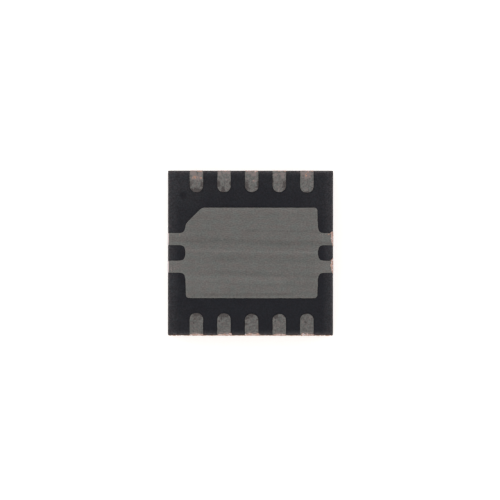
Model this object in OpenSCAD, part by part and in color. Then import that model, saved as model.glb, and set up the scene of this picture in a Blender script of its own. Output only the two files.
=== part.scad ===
// Electronic fuse chip in a flat, no-lead power package with ten lands and an exposed pad.
// The chip lies on its marked face with its lands up, so +Z points out of the soldered side.
// The origin is the centre of the marked face. Lands 1 to 5 run along the +Y edge from -X
// to +X, and lands 6 to 10 come back along the -Y edge. All sizes are in millimetres.

/* [Moulded body] */
// Length of the sawn body, along the rows of lands
body_x = 2.99; // [2.9:0.01:3.6]
// Width of the sawn body, across the rows of lands
body_y = 2.98; // [2.9:0.01:3.6]
// Height from the marked face to the faces of the lands
package_h = 0.9; // [0.8:0.01:1.2]
// How far the lands stand out of the moulding compound
stand_off = 0.02; // [0.005:0.005:0.05]
// How far the saw cuts lie to the -X side of the lead frame's centre
saw_shift = 0.02; // [0:0.005:0.05]

/* [First-land mark] */
// Diameter of the round mark beside land 1, on the marked face
mark_d = 0.3; // [0.1:0.01:0.5]
// Depth of the round mark
mark_depth = 0.02; // [0.005:0.005:0.05]
// Distance from the mark's centre to each of the two nearest sawn sides
mark_inset = 0.4; // [0.3:0.01:0.8]

/* [Lead frame] */
// Thickness of the copper sheet that the frame is etched from
frame_t = 0.2; // [0.15:0.01:0.25]
// Depth etched away from the soldered side, which leaves the thin lips and tongues
half_etch = 0.1; // [0.05:0.01:0.12]

/* [Leads] */
// Leads in each row
leads_per_row = 5; // [3:1:5]
// Distance between the centres of neighbouring leads
pitch = 0.5; // [0.45:0.01:0.55]
// Width of a land
land_w = 0.24; // [0.2:0.01:0.3]
// Length of a land, from the saw cut to its inner end
land_l = 0.39; // [0.3:0.01:0.45]
// Radius of the two corners at a land's inner end
land_end_r = 0.115; // [0.02:0.005:0.115]
// How far the thin tongue runs past the land's inner end
tongue_l = 0.05; // [0.02:0.01:0.08]
// How far the thin wings stand out past each side of the land
wing = 0.03; // [0.01:0.01:0.05]
// Length of plain lead between the saw cut and the wings
wing_inset = 0.1; // [0.05:0.01:0.15]
// Radius of the corners of the tongue and wings
tongue_r = 0.04; // [0.01:0.01:0.06]

/* [Exposed pad] */
// Length of the exposed pad, along the rows of lands
pad_x = 2.4; // [2.2:0.01:2.5]
// Width of the exposed pad
pad_y = 1.64; // [1.5:0.01:1.75]
// Leg of the bevelled corner beside land 1
pad_chamfer = 0.3; // [0.2:0.01:0.32]
// Radius of the pad's three square corners
pad_corner_r = 0.06; // [0.02:0.01:0.1]
// Radius at each end of the bevel
chamfer_r = 0.13; // [0.02:0.01:0.14]
// How far etching draws in the pad's short sides at the corners
corner_draw = 0.012; // [0.002:0.002:0.02]
// Width of a tie bar
tie_w = 0.22; // [0.15:0.005:0.26]
// Distance between the centres of the two tie bars on one side
tie_pitch = 0.5; // [0.46:0.01:0.52]
// Radius where a tie bar runs into the pad
tie_root_r = 0.09; // [0.02:0.01:0.1]
// How far the thin lip stands out round the pad on the die's side
pad_lip = 0.08; // [0.02:0.01:0.1]

/* [Die] */
// Length of the silicon die
die_x = 1.7; // [1.5:0.05:1.9]
// Width of the silicon die
die_y = 1.2; // [1:0.05:1.3]
// Thickness of the silicon die
die_t = 0.2; // [0.1:0.01:0.25]
// Thickness of the adhesive between die and pad
attach_t = 0.025; // [0.015:0.005:0.04]
// How far the adhesive's fillet spreads past the die
attach_fillet = 0.05; // [0.02:0.01:0.07]
// How far the fillet climbs the die's sides
attach_climb = 0.08; // [0.03:0.01:0.09]
// Radius of the adhesive's corners
attach_r = 0.04; // [0.02:0.01:0.06]

/* [Bond wires] */
// Diameter of the wires to the control leads
control_wire_d = 0.03; // [0.02:0.005:0.04]
// Diameter of the wires to the power leads and the pad
power_wire_d = 0.05; // [0.04:0.005:0.06]
// Distance between the two wires of a power lead
wire_gap = 0.12; // [0.11:0.01:0.16]
// Distance from the die's edge to the centres of the ball bonds
ball_inset = 0.08; // [0.06:0.01:0.15]
// Distance between ball bonds on the die as a share of the leads' pitch
fan_share = 0.7; // [0.6:0.02:0.75]
// Distance from the saw cut to where a wire lands on its lead
foot_inset = 0.2; // [0.15:0.01:0.25]
// Reach of a ground wire past the die's edge, on the pad
ground_reach = 0.2; // [0.15:0.01:0.22]
// Straight rise of a wire above its ball
wire_rise = 0.06; // [0.03:0.01:0.1]
// Radius of the bend above the rise
bend_r = 0.09; // [0.08:0.01:0.12]

/* [Hidden] */
$fn = 64;
eps = 0.01;
leads = 2 * leads_per_row;

// Levels, from the marked face up
mould_z = package_h - stand_off;
die_side_z = package_h - frame_t;
lip_t = frame_t - half_etch;
die_back_z = die_side_z - attach_t;
die_face_z = die_back_z - die_t;

// A land's two corner radii leave a short straight edge between them, however narrow the land
land_corner_r = min(land_end_r, 0.49 * land_w);

// The outer ends of the frame, seen from the frame's own centre
cut_left = -body_x / 2 - saw_shift;
cut_right = body_x / 2 - saw_shift;
cut_row = body_y / 2;

// A ball bond is squashed to this many wire diameters wide and thick, and its rims are rounded
ball_spread = 2;
ball_share = 0.5;
rim_share = 0.8;
// Where the round wire starts to flatten into its foot: wire diameters back from the landing
// point, and up from the copper
flatten_share = 2;
lift_share = 0.4;
// The foot in wire diameters, each as [place past the landing point, thickness, width]
foot_profile = [
    [-0.5, 0.6, 1.5],
    [0, 0.36, 1.7],
    [1, 0.16, 1.4]
];
// Sides of a wire's section, and steps round its bend
wire_sides = 10;
bend_steps = 5;
flat_start = floor(wire_sides / 4);

// Leads numbered from 1: the row they are in, their place along it and the side that it is on
function row_side(n) = n <= leads_per_row ? 1 : -1;
function place_in_row(n) = n <= leads_per_row ? n - 1 : leads - n;
function lead_x(n) = (place_in_row(n) - (leads_per_row - 1) / 2) * pitch;

// Two leads at the low end of each row carry signals, and the rest carry the supply
function is_power(n) = place_in_row(n) >= 2;

// One entry for each wire to a lead: its lead and its side of the lead's centre line
BONDS = [
    for (n = [1 : leads])
        for (side = is_power(n) ? [-1, 1] : [0])
            [n, side]
];
function wire_name(bond) =
    str("wire_", bond[0], bond[1] < 0 ? "a" : bond[1] > 0 ? "b" : "");
GROUND_SIDES = ["left", "right"];

function unit(v) = v / norm(v);

// A convex outline with true arcs at its corners. Each corner is [x, y, radius].
module rounded_outline(corners) {
    count = len(corners);
    function point(i) = [corners[i][0], corners[i][1]];
    function to_last(i) = unit(point((i + count - 1) % count) - point(i));
    function to_next(i) = unit(point((i + 1) % count) - point(i));
    function half_angle(i) = acos(to_last(i) * to_next(i)) / 2;
    function cut_back(i) = corners[i][2] / tan(half_angle(i));
    polygon([
        for (i = [0 : count - 1])
            for (toward = corners[i][2] > 0 ? [to_last(i), to_next(i)] : [[0, 0]])
                point(i) + toward * cut_back(i)
    ]);
    for (i = [0 : count - 1])
        if (corners[i][2] > 0)
            translate(point(i)
                + unit(to_last(i) + to_next(i)) * corners[i][2] / sin(half_angle(i)))
                circle(r = corners[i][2]);
}

// The concave corner between two edges that meet at the origin, along +X and +Y
module root_fillet(r) {
    difference() {
        square(r);
        translate([r, r]) circle(r = r);
    }
}

// A lead's outline: its outer end lies on y = start, and it runs to y = start + length
module lead_outline(width, start, length, outer_r, inner_r) {
    rounded_outline([
        [-width / 2, start, outer_r],
        [width / 2, start, outer_r],
        [width / 2, start + length, inner_r],
        [-width / 2, start + length, inner_r]
    ]);
}

// One lead: the full-thickness land, and the thin wings and tongue that lock it in the mould
module lead_shape() {
    linear_extrude(frame_t)
        lead_outline(land_w, 0, land_l, 0, land_corner_r);
    linear_extrude(lip_t)
        lead_outline(land_w + 2 * wing, wing_inset, land_l + tongue_l - wing_inset,
            tongue_r, tongue_r);
}

module lead(n) {
    color("dimgray")
        translate([saw_shift + lead_x(n), row_side(n) * cut_row, die_side_z])
            rotate(row_side(n) > 0 ? 180 : 0)
                lead_shape();
}

// The pad's outline, grown by a margin: one bevelled corner, and short sides that lean in
module pad_outline(grow) {
    half_x = pad_x / 2 + grow;
    half_y = pad_y / 2 + grow;
    drawn_x = half_x - corner_draw;
    straight_y = tie_pitch / 2 + tie_w / 2 + tie_root_r;
    leg = pad_chamfer + grow * (2 - sqrt(2));
    rounded_outline([
        [-half_x, half_y - leg, chamfer_r + grow],
        [-half_x, -straight_y, 0],
        [-drawn_x, -half_y, pad_corner_r + grow],
        [drawn_x, -half_y, pad_corner_r + grow],
        [half_x, -straight_y, 0],
        [half_x, straight_y, 0],
        [drawn_x, half_y, pad_corner_r + grow],
        [leg - half_x, half_y, chamfer_r + grow]
    ]);
}

// A tie bar from the pad's side at the origin out along +X, with its two root fillets
module tie_bar_outline(length) {
    translate([-eps, -tie_w / 2]) square([length + eps, tie_w]);
    for (side = [0, 1])
        mirror([0, side])
            translate([0, tie_w / 2]) root_fillet(tie_root_r);
}

module pad_with_tie_bars() {
    pad_outline(0);
    for (y = [-tie_pitch / 2, tie_pitch / 2]) {
        translate([pad_x / 2, y]) tie_bar_outline(cut_right - pad_x / 2);
        translate([-pad_x / 2, y]) mirror([1, 0]) tie_bar_outline(-cut_left - pad_x / 2);
    }
}

module die_pad() {
    color("gray")
        translate([saw_shift, 0, die_side_z]) {
            linear_extrude(frame_t) pad_with_tie_bars();
            linear_extrude(lip_t) pad_outline(pad_lip);
        }
}

module die() {
    color("slategray")
        translate([saw_shift - die_x / 2, -die_y / 2, die_face_z])
            cube([die_x, die_y, die_t]);
}

// The adhesive under the die, with the fillet that it leaves up the die's sides
module attach_outline(spread) {
    half_x = die_x / 2 + spread;
    half_y = die_y / 2 + spread;
    rounded_outline([
        [-half_x, -half_y, attach_r],
        [half_x, -half_y, attach_r],
        [half_x, half_y, attach_r],
        [-half_x, half_y, attach_r]
    ]);
}

module die_attach() {
    color("silver")
        difference() {
            translate([saw_shift, 0, die_side_z])
                mirror([0, 0, 1])
                    hull() {
                        linear_extrude(attach_t, $fn = 16) attach_outline(attach_fillet);
                        linear_extrude(attach_t + attach_climb, $fn = 16)
                            attach_outline(attach_t);
                    }
            die();
        }
}

// One ring of a wire. A section is [x, z, heading, thickness, width] in the plane of the loop.
function wire_ring(section) = [
    for (k = [0 : wire_sides - 1])
        let (
            up = section[3] / 2 * sin(360 * k / wire_sides),
            across = section[4] / 2 * cos(360 * k / wire_sides)
        )
        [section[0] - up * sin(section[2]), across, section[1] + up * cos(section[2])]
];

// One ring of a wire's foot: half an ellipse, flat where it is pressed on the copper at
// z = level. Its points start at the side that lies next to the round wire's lowest edge.
function foot_ring(x, level, thickness, width) = [
    for (k = [0 : wire_sides - 1])
        let (turned = 180 * ((k + flat_start) % wire_sides) / (wire_sides - 1))
        [x, width / 2 * cos(turned), level + thickness * sin(turned)]
];

// A bond wire in its own plane. It starts at a ball on the die's face at the origin, rises
// along +Z, bends, and runs straight down to a flattened foot at x = reach, z = -drop.
module wire_shape(d, reach, drop) {
    ball_d = ball_spread * d;
    ball_h = ball_share * d;
    rim_d = rim_share * ball_d;
    top = ball_h + wire_rise;
    run_end = [reach - flatten_share * d, lift_share * d + d / 2 - drop];
    fall = [run_end[0] - bend_r, top - run_end[1]];
    slope = atan2(fall[1], fall[0]) + asin(bend_r / norm(fall));
    round_part = [
        [0, 0, 90, rim_d, rim_d],
        [0, ball_h / 2, 90, ball_d, ball_d],
        [0, ball_h, 90, rim_d, rim_d],
        [0, ball_h + d / 4, 90, d, d],
        for (step = [0 : bend_steps])
            let (turned = (90 + slope) * step / bend_steps)
            [bend_r * (1 - cos(turned)), top + bend_r * sin(turned), 90 - turned, d, d],
        [run_end[0], run_end[1], -slope, d, d]
    ];
    rings = [
        for (section = round_part)
            wire_ring(section),
        for (foot = foot_profile)
            foot_ring(reach + foot[0] * d, -drop, foot[1] * d, foot[2] * d)
    ];
    last = len(rings) - 1;
    polyhedron(
        points = [for (ring = rings) for (point = ring) point],
        faces = [
            [for (k = [0 : wire_sides - 1]) k],
            for (i = [0 : last - 1])
                for (k = [0 : wire_sides - 1])
                    let (here = i * wire_sides, next = (k + 1) % wire_sides)
                    [
                        here + k,
                        here + wire_sides + k,
                        here + wire_sides + next,
                        here + next
                    ],
            [for (k = [wire_sides - 1 : -1 : 0]) last * wire_sides + k]
        ]
    );
}

// Sets a wire between two points on the plan: from a ball on the die to a foot on the frame
module wire_between(d, ball, foot) {
    color("darkgoldenrod")
        translate([ball[0], ball[1], die_face_z])
            rotate(atan2(foot[1] - ball[1], foot[0] - ball[0]))
                rotate([180, 0, 0])
                    wire_shape(d, norm(foot - ball), die_side_z - die_face_z);
}

module lead_wire(bond) {
    n = bond[0];
    aside = bond[1] * wire_gap / 2;
    wire_between(
        is_power(n) ? power_wire_d : control_wire_d,
        [saw_shift + lead_x(n) * fan_share + aside, row_side(n) * (die_y / 2 - ball_inset)],
        [saw_shift + lead_x(n) + aside, row_side(n) * (cut_row - foot_inset)]
    );
}

module ground_wire(side) {
    toward = side == "right" ? 1 : -1;
    wire_between(
        power_wire_d,
        [saw_shift + toward * (die_x / 2 - ball_inset), 0],
        [saw_shift + toward * (die_x / 2 + ground_reach), 0]
    );
}

// The moulding compound fills all that the frame, the die and the wires leave of the block
module mould_body() {
    color([0.15, 0.15, 0.16])
        difference() {
            translate([-body_x / 2, -body_y / 2, 0]) cube([body_x, body_y, mould_z]);
            translate([mark_inset - body_x / 2, body_y / 2 - mark_inset, -eps])
                cylinder(h = mark_depth + eps, d = mark_d);
            die_pad();
            for (n = [1 : leads]) lead(n);
            die_attach();
            die();
            for (bond = BONDS) lead_wire(bond);
            for (side = GROUND_SIDES) ground_wire(side);
        }
}

mould_body();
die_pad();
die_attach();
die();
for (n = [1 : leads])
    lead(n);
for (bond = BONDS)
    lead_wire(bond);
for (side = GROUND_SIDES)
    ground_wire(side);
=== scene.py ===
import math
import random
from functools import partial

import bmesh
import bpy
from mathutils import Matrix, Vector, noise
from mathutils.geometry import delaunay_2d_cdt
from mathutils.kdtree import KDTree


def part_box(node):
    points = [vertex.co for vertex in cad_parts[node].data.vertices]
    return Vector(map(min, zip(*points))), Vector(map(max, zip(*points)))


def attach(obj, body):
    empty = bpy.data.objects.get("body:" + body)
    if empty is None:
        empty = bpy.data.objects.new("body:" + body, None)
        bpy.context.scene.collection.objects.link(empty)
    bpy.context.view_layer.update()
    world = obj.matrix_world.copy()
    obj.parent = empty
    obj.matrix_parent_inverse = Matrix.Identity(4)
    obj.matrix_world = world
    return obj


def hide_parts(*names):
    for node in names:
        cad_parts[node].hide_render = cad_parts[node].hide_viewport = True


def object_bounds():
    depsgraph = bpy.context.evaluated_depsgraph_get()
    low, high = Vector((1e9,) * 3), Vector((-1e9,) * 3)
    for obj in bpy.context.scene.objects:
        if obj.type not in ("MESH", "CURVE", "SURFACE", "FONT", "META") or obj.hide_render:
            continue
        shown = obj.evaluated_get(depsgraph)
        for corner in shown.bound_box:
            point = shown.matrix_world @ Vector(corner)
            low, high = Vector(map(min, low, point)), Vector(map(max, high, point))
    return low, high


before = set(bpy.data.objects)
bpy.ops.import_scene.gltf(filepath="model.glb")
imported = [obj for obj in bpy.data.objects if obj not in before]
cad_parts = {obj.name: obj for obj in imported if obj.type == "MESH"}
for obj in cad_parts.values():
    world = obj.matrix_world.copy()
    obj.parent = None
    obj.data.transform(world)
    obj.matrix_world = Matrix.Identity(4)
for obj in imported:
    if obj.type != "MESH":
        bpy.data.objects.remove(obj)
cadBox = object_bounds()
print("frame loaded:", len(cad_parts), "nodes")

mm = 0.001  # meshes are worked in millimetres and scaled to metres at the end
mouldLow, mouldHigh = (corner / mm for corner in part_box("mould_body"))
landTop = cadBox[1].z / mm
leadNumbers = sorted(int(n[5:]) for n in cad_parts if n.startswith("lead_"))
wireNames = [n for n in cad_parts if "wire" in n]
# the block's sides as (axis, level): four sawn ones, the marked face and the soldered face
blockSides = [(axis, corner[axis]) for axis in range(3) for corner in (mouldLow, mouldHigh)]
sameLevel = 0.0002  # closer than this, two heights are the same
onCut = 0.0035  # closer than this to a sawn side, a place is on the cut
rimFade = (0.022, 0.002)  # how far in from the sawn sides a relief is whole, and where it is gone


# Mesh helpers

def microns(table):
    # turns a table of whole thousandths of a millimetre into millimetres
    if isinstance(table, dict):
        return {key: microns(value) for key, value in table.items()}
    if isinstance(table, (list, tuple)):
        return [microns(value) for value in table]
    return table / 1000


def nodeMesh(name):
    # a welded copy of a CAD node, in millimetres
    bm = bmesh.new()
    bm.from_mesh(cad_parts[name].data)
    bmesh.ops.scale(bm, vec=(1 / mm,) * 3, verts=bm.verts)
    bmesh.ops.remove_doubles(bm, verts=bm.verts, dist=0.0001)
    return bm


def newObject(name, data):
    made = bpy.data.objects.new(name, data)
    bpy.context.scene.collection.objects.link(made)
    return made


def finishPiece(bm, name, material, smoothAngle, replaced=None):
    # turns a mesh in millimetres into a piece that rides on the chip
    bmesh.ops.recalc_face_normals(bm, faces=bm.faces)
    bmesh.ops.scale(bm, vec=(mm,) * 3, verts=bm.verts)
    mesh = bpy.data.meshes.new(name)
    bm.to_mesh(mesh)
    bm.free()
    mesh.polygons.foreach_set("use_smooth", [True] * len(mesh.polygons))
    mesh.set_sharp_from_angle(angle=math.radians(smoothAngle))
    mesh.materials.append(material)
    piece = newObject(name, mesh)
    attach(piece, "root")
    if replaced:
        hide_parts(replaced)


def ripple(point, size, seed=0.0):
    # smooth noise from -1 to 1, with bumps about size millimetres apart
    return noise.noise(Vector(point) / size + Vector((seed, 3.1 * seed, -seed)))


def fade(value, full, gone):
    # 1 where value has reached full, and smoothly down to 0 at gone
    share = max(0.0, min(1.0, (value - gone) / (full - gone)))
    return share * share * (3 - 2 * share)


def flatTree(points):
    # for the nearest of some points, by X and Y
    tree = KDTree(len(points))
    for i, p in enumerate(points):
        tree.insert((p.x, p.y, 0), i)
    tree.balance()
    return tree


def splitEdges(edges, step):
    # adds vertices along edges that are longer than step
    for edge in edges:
        count = math.ceil(edge.calc_length() / step)
        near, rest = edge.verts[0], edge
        for left in range(count, 1, -1):
            rest, added = bmesh.utils.edge_split(rest, near, 1 / left)
            rest = next(e for e in added.link_edges if near not in e.verts)
            near = added


def insideTriangles(triangles, walls):
    # those with an odd number of walls between them and the open
    edgesOf = [[frozenset((t[i], t[i - 1])) for i in range(3)] for t in triangles]
    touching = {}
    for t, edges in enumerate(edgesOf):
        for edge in edges:
            touching.setdefault(edge, []).append(t)
    inside = {near[0]: edge in walls for edge, near in touching.items() if len(near) == 1}
    waiting = list(inside)
    while waiting:
        t = waiting.pop()
        for edge in edgesOf[t]:
            for other in touching[edge]:
                if other not in inside:
                    inside[other] = inside[t] != (edge in walls)
                    waiting.append(other)
    return [triangle for t, triangle in enumerate(triangles) if inside[t]]


def fillRegion(bm, border, axis, level, step):
    # fills a flat region inside its border edges with a fine net, and gives the net's inner vertices
    across = [i for i in range(3) if i != axis]
    rim = list(dict.fromkeys(v for e in border for v in e.verts))
    place = {v: i for i, v in enumerate(rim)}
    flat = [Vector((v.co[across[0]], v.co[across[1]])) for v in rim]
    rimTree = flatTree(flat)
    (lowX, highX), (lowY, highY) = ((min(values), max(values)) for values in zip(*flat))
    grid = []
    for row in range(1, int((highY - lowY) / step[1]) + 1):
        for column in range(1, int((highX - lowX) / step[0]) + 1):
            x, y = lowX + (column - 0.5 * (row % 2)) * step[0], lowY + row * step[1]
            if rimTree.find((x, y, 0))[2] > 0.55 * min(step):
                grid.append(Vector((x, y)))
    lines = [[place[v] for v in e.verts] for e in border]
    points, edges, triangles, sources, drawn, _ = delaunay_2d_cdt(flat + grid, lines, [], 0, 1e-6, True)
    walls = {frozenset(edge) for edge, wall in zip(edges, drawn) if wall}
    net, added = {}, []
    for triangle in insideTriangles(triangles, walls):
        for i in (i for i in triangle if i not in net):
            known = [source for source in sources[i] if source < len(rim)]
            if known:
                net[i] = rim[known[0]]
                continue
            co = [0.0, 0.0, 0.0]
            co[axis], co[across[0]], co[across[1]] = level, points[i].x, points[i].y
            net[i] = bm.verts.new(co)
            added.append(net[i])
        bm.faces.new([net[i] for i in triangle])
    return added


def flatRegion(bm, axis, level):
    # the flat faces at one level, the edges inside them and the edges round them
    faces = [f for f in bm.faces if all(abs(v.co[axis] - level) < sameLevel for v in f.verts)]
    known, inner, border = set(faces), [], []
    for edge in dict.fromkeys(e for f in faces for e in f.edges):
        (border if sum(f in known for f in edge.link_faces) == 1 else inner).append(edge)
    return faces, inner, border


def openPlane(bm, axis, level):
    # takes out the flat faces at one level, and gives their border edges
    faces, inner, border = flatRegion(bm, axis, level)
    bmesh.ops.delete(bm, geom=faces, context="FACES_ONLY")
    bmesh.ops.delete(bm, geom=[e for e in inner if not e.link_faces], context="EDGES")
    return border


def joinRings(bm, low, high):
    for i in range(len(low)):
        bm.faces.new((low[i - 1], low[i], high[i], high[i - 1]))


def sawFade(point):
    # 0 at the sawn sides, 1 a little way inside
    return fade(min(mouldHigh.x - abs(point.x), mouldHigh.y - abs(point.y)), *rimFade)


def bladeMarks(point, axis):
    # the saw's long shallow arcs over the cut sides, from about -1.5 to 1.5
    along = point.y if axis == 0 else point.x
    depth = point.z - 0.012 * (along + 0.4) ** 2
    marks = ripple((0.3 * along, axis * 7.0, depth * 3), 0.09, 6.0)
    return marks + 0.6 * ripple((0.6 * along, axis * 5.0, depth * 3), 0.04, 8.0)


# Moulded body: the CAD shape, its outer faces given fine nets with grain, saw marks and chips

mouldBlock = {
    # spacing of the nets on the sawn sides, the marked face and the soldered face, mm
    "netSteps": [(0.026, 0.011)] * 4 + [(0.028, 0.028), (0.019, 0.019)],
    "edgeStep": 0.014,
    "topGrain": 0.0009,  # heights of the relief, mm
    "markedGrain": 0.0016,
    "sawLines": 0.0016,
    "pitDepth": 0.018,
    "chipReach": 0.022,  # how far a chipped edge reaches into the faces
    "chipDepth": 0.008,
    "cleanCut": 0.3,  # its share on the cut towards +Y, which came out cleaner
    "dip": (-1.219, 1.044),  # place, radius and depth of a soft dip on the soldered side
    "dipRadius": 0.066,
    "dipDepth": 0.004,
    "climb": 0.009,  # how far the compound climbs at the metal
}


def chipLoss(point, sizes):
    # how much of a sawn edge is broken away at a place
    wide = max(0.0, ripple(point, 0.11, 4.0) + 0.2)
    fine = 0.5 + 0.5 * ripple(point, 0.027, 9.0)
    depth = sizes["chipDepth"] * (sizes["cleanCut"] if point.y > mouldHigh.y - 0.03 else 1)
    return depth * (1.3 * wide * wide * fine + 0.16 * fine)


def mouldRelief(point, axis, sizes):
    if axis < 2:
        pit = max(0.0, ripple(point, 0.05, 11.0) - 0.42)
        return sizes["sawLines"] * bladeMarks(point, axis) - sizes["pitDepth"] * pit
    if point.z < mouldHigh.z / 2:
        return sizes["markedGrain"] * (ripple(point, 0.06, 3.0) + 0.8 * ripple(point, 0.03, 5.0))
    away = math.hypot(point.x - sizes["dip"][0], point.y - sizes["dip"][1])
    dip = sizes["dipDepth"] * fade(away, 0.3 * sizes["dipRadius"], 1.2 * sizes["dipRadius"])
    return sizes["topGrain"] * (ripple(point, 0.045, 1.0) + 0.7 * ripple(point, 0.02, 2.0)) - dip


def makeMouldBlock(material, sizes):
    bm = nodeMesh("mould_body")
    edges = dict.fromkeys(e for side in blockSides for e in flatRegion(bm, *side)[2])
    splitEdges(list(edges), sizes["edgeStep"])
    borders = {side: openPlane(bm, *side) for side in blockSides}
    pinned = {v for f in bm.faces for v in f.verts}
    metalRim = {v for e in borders[2, mouldHigh.z] for v in e.verts} & pinned
    moves = {v: Vector((0, 0, sizes["climb"] * sawFade(v.co))) for v in metalRim}
    middle = (mouldLow + mouldHigh) / 2
    for (axis, level), step in zip(blockSides, sizes["netSteps"]):
        outward = 1 if level > middle[axis] else -1
        for v in fillRegion(bm, borders[axis, level], axis, level, step):
            moves[v] = Vector((0, 0, 0))
            moves[v][axis] = mouldRelief(v.co, axis, sizes) * outward
    reach = sizes["chipReach"]
    for v in bm.verts:
        gaps = [min(v.co[i] - mouldLow[i], mouldHigh[i] - v.co[i]) for i in range(3)]
        near = [i for i in range(3) if gaps[i] < reach]
        if v in pinned or len(near) < 2:
            continue
        loss = chipLoss(v.co, sizes)
        for i in near:
            others = max(1 - gaps[j] / reach for j in near if j != i)
            share = (others * max(0.0, 1 - gaps[i] / reach)) ** 2
            move = moves.setdefault(v, Vector((0, 0, 0)))
            move[i] += loss * share * (1 if v.co[i] < middle[i] else -1)
    for v, move in moves.items():
        v.co += move
    finishPiece(bm, "moulded_block", material, 35, "mould_body")


# Lead frame: the CAD shape, with the part that stands out of the moulding made ragged and round

platedLand = {
    "rimRadius": 0.007,  # rounding of the etched edge, mm
    "outlineStep": 0.0065,
    "capStep": (0.009, 0.009),
    "ragged": 0.0026,  # how far the edge wanders
    "nick": 0.010,  # depth of the few deeper nicks
    "swell": 0.0022,  # how far the plating widens the outline
    "grain": 0.0010,  # relief of the plated face
    "pit": 0.003,
    "rolled": 0.0,
    "hollowFill": 0.0,
    # how far the etching left each land's inner end long or short
    "tips": microns({2: 1, 3: -4, 4: -4, 5: 6, 7: -6, 8: -5, 9: 4, 10: 10}),
    # patches on each land: place across it, distance from the cut, half width, half length
    "stains": microns({
        1: [(-118, 250, 44, 60), (118, 250, 50, 62), (0, 375, 125, 75)],
        2: [(-118, 250, 56, 62), (-16, 355, 45, 65), (125, 225, 30, 60)],
        3: [(-118, 275, 75, 100), (125, 250, 34, 60), (95, 295, 40, 22)],
        4: [(120, 255, 62, 75), (65, 295, 27, 22), (-125, 220, 22, 100)],
        5: [(0, 400, 60, 24)],
        6: [(-27, 237, 28, 22), (-30, 400, 60, 30), (88, 295, 14, 12)],
        7: [(-62, 355, 58, 58), (110, 360, 30, 40), (-76, 250, 13, 12)],
        8: [(-30, 385, 90, 55), (-85, 313, 52, 30), (105, 284, 30, 18), (-105, 204, 42, 18)],
        9: [(-20, 375, 100, 60), (-47, 300, 15, 35), (-85, 255, 20, 16)],
        10: [(-9, 380, 60, 50), (95, 365, 26, 35), (-27, 295, 16, 20), (-50, 222, 16, 16)],
    }),
    "pinks": microns({
        1: [(-54, 50, 58, 60), (67, 50, 34, 60), (0, 132, 105, 42)],
        2: [(-83, 45, 26, 45), (-5, 25, 32, 30), (74, 34, 42, 30), (42, 163, 20, 20)],
        3: [(-40, 30, 45, 26), (49, 69, 48, 40), (40, 186, 37, 20)],
        4: [(-62, 70, 42, 26), (51, 56, 54, 26), (60, 114, 27, 37), (-11, 355, 14, 30)],
        5: [(-5, 56, 102, 58), (4, 119, 76, 27)],
        6: [(0, 42, 90, 12)],
        7: [(0, 36, 60, 10)],
        8: [(-60, 46, 40, 14), (60, 46, 40, 12)],
        9: [(-50, 44, 40, 10), (50, 44, 40, 12)],
        10: [(-20, 38, 90, 12)],
    }),
    "pinkReach": 0.2,
    # how much lighter than plain plating each land is, and how much more near the first row's cut
    "lighter": microns({1: 110, 2: 120, 3: 120, 4: 130, 5: 120, 6: -20, 7: 40, 8: 30, 9: 30, 10: -15}),
    "lift": 0.05,
}
platedPad = {
    "rimRadius": 0.008,
    "outlineStep": 0.009,
    "capStep": (0.03, 0.0105),
    "ragged": 0.0020,
    "nick": 0.008,
    "swell": 0.0008,
    "grain": 0.0004,
    "pit": 0.0,
    "rolled": 0.0004,
    "tips": {},
    "hollowFill": 1.3,  # how much the roots of the tie bars are rounded out
    # marks left by rolling the copper sheet: place across the pad, slope, half width, how much lighter,
    # and where along the pad they start and end
    "rollMarks": [
        (0.78, -0.005, 0.06, 0.05, -2, 2), (0.402, -0.013, 0.022, -0.115, -0.15, 2),
        (0.35, -0.013, 0.03, 0.02, -2, 2), (0.197, -0.030, 0.07, -0.11, -2, 2),
        (0.030, -0.014, 0.060, 0.06, -2, 2), (0.024, -0.014, 0.013, 0.11, -2, 2),
        (-0.11, -0.020, 0.09, -0.055, -0.7, 2), (-0.205, -0.030, 0.03, 0.03, -0.3, 2),
        (-0.372, -0.037, 0.060, -0.065, -0.65, 2), (-0.49, -0.020, 0.085, 0.08, -2, 0.6),
        (-0.60, -0.010, 0.05, 0.03, -2, -0.5), (-0.755, 0.008, 0.034, -0.13, -0.85, 0.8),
    ],
    "rollEnd": 0.15,  # how softly they start and end
    "endLift": 0.08,
}
# what the lands and the pad share
platedBoth = {
    "rootDepth": 0.004,  # how far under the moulding's surface the remade part starts, mm
    "wallDepth": 0.001,  # and how far under it the new wall and the marks start
    "markDepth": 0.002,
    "rimRings": 4,
    "hollowSpan": 5,  # a hollow is judged from so many points of the outline on each side
    "tipZone": (0.38, 0.28),  # from the cut, where a land's end has its own length and where it starts
    "endEdgeStep": 0.014,  # of the sawn ends
    "endNetStep": (0.016, 0.009),
    "sawLines": 0.0013,
}


def edgeWander(point, sizes, seed):
    wander = sizes["ragged"] * (ripple(point, 0.09, seed) + 0.8 * ripple(point, 0.028, seed + 2))
    nick = max(0.0, ripple(point, 0.05, seed + 5) - 0.3) * sizes["nick"]
    return (wander - nick + sizes["swell"]) * sawFade(point)


def faceRelief(point, sizes, seed):
    height = sizes["grain"] * (ripple(point, 0.03, seed) + 0.6 * ripple(point, 0.014, seed + 1))
    height -= sizes["pit"] * max(0.0, ripple(point, 0.035, seed + 3) - 0.25)
    lines = ripple((point.x * 0.05, point.y, 0), 0.03, seed + 4)
    return (height + sizes["rolled"] * lines) * sawFade(point)


def patchShare(across, fromCut, patches, wild):
    # 1 inside any of the ragged patches, 0 outside them
    deepest = max(1 - math.hypot((across - x) / w, (fromCut - y) / h) for x, y, w, h in patches)
    return max(0.0, min(1.0, (deepest + 0.45 * wild) / 0.25 + 0.4))


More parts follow.
